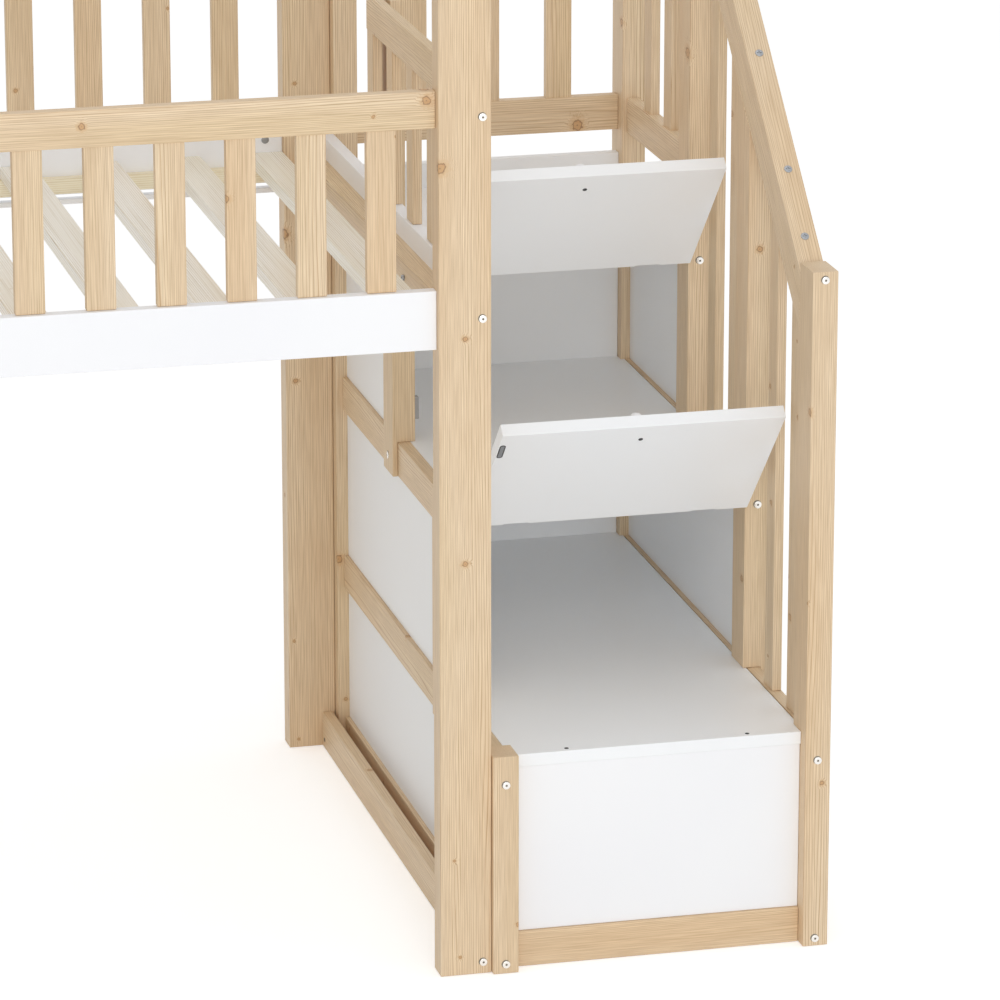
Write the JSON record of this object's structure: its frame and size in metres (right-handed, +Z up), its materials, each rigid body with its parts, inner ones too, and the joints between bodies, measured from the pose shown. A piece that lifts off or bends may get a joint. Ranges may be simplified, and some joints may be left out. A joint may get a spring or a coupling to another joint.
{
  "type": "house loft bed with slide",
  "caption": "Raised house-shaped child's bed frame with slatted deck and guard rails, a stair with flap-door storage in its steps at one end and a slide at the other.",
  "frame": {"origin": "on the floor, under the middle of the overall box, slide and stair included", "axes": "+Z up, -Y towards the room (the side with the slide and the front of the stair), +X towards the stair end"},
  "size_m": [2.584, 2.411, 2.0643],
  "materials": {
    "pine": "clear satin lacquer over natural pine",
    "white_board": "white satin paint",
    "slat_wood": "planed and unfinished",
    "laminate": "white semi-gloss laminate",
    "nickel": "nickel plated"
  },
  "bodies": {
    "frame": {"bed_post_front_right": "pine", "bed_post_rear_right": "pine", "bed_post_front_left": "pine", "bed_post_rear_left": "pine", "roof_gable_right": "pine", "roof_gable_left": "pine", "roof_ridge": "pine", "side_board_front": "white_board", "side_board_rear": "white_board", "end_board_right": "white_board", "end_board_left": "white_board", "tie_bar_rear": "white_board", "slat_deck": "slat_wood", "guard_front": "pine", "guard_rear": "pine", "guard_end_right": "pine", "guard_end_left": "pine", "floor_rail_right": "pine", "floor_rail_left": "pine", "stair_post_front_left": "pine", "stair_newel": "pine", "stair_post_rear_left": "pine", "stair_post_rear_right": "pine", "stair_stile_left_1": "pine", "stair_stile_left_2": "pine", "stair_stile_right_1": "pine", "stair_stile_right_2": "pine", "stair_rail_left_0": "pine", "stair_rail_left_1": "pine", "stair_rail_left_2": "pine", "stair_rail_left_3": "pine", "stair_rail_right_0": "pine", "stair_rail_right_1": "pine", "stair_rail_right_2": "pine", "stair_rail_right_3": "pine", "stair_panel_left_1": "white_board", "stair_panel_left_2": "white_board", "stair_panel_left_3": "white_board", "stair_panel_right_1": "white_board", "stair_panel_right_2": "white_board", "stair_panel_right_3": "white_board", "stair_tread_1": "white_board", "stair_tread_2": "white_board", "stair_tread_3": "white_board", "stair_front_rail": "pine", "stair_front_panel": "white_board", "stair_rear_panel": "white_board", "handrail": "pine", "landing_guard_right": "pine", "landing_guard_rear": "pine", "flap_hinge_lower_left": "nickel", "flap_hinge_lower_right": "nickel", "flap_hinge_upper_left": "nickel", "flap_hinge_upper_right": "nickel", "slide_chute": "laminate"},
    "flap_lower": {"flap_door_lower": "laminate", "flap_knob_lower": "white_board"},
    "flap_upper": {"flap_door_upper": "laminate", "flap_knob_upper": "white_board"}
  },
  "joints": [
    {"name": "flap_lower_close", "type": "hinge", "parent": "frame", "child": "flap_lower", "pos_m": [1.0713, 0.4673, 0.5252], "axis": [1, 0, 0], "range_deg": [0, 135]},
    {"name": "flap_upper_close", "type": "hinge", "parent": "frame", "child": "flap_upper", "pos_m": [1.0713, 0.7474, 0.7835], "axis": [1, 0, 0], "range_deg": [0, 135]}
  ]
}
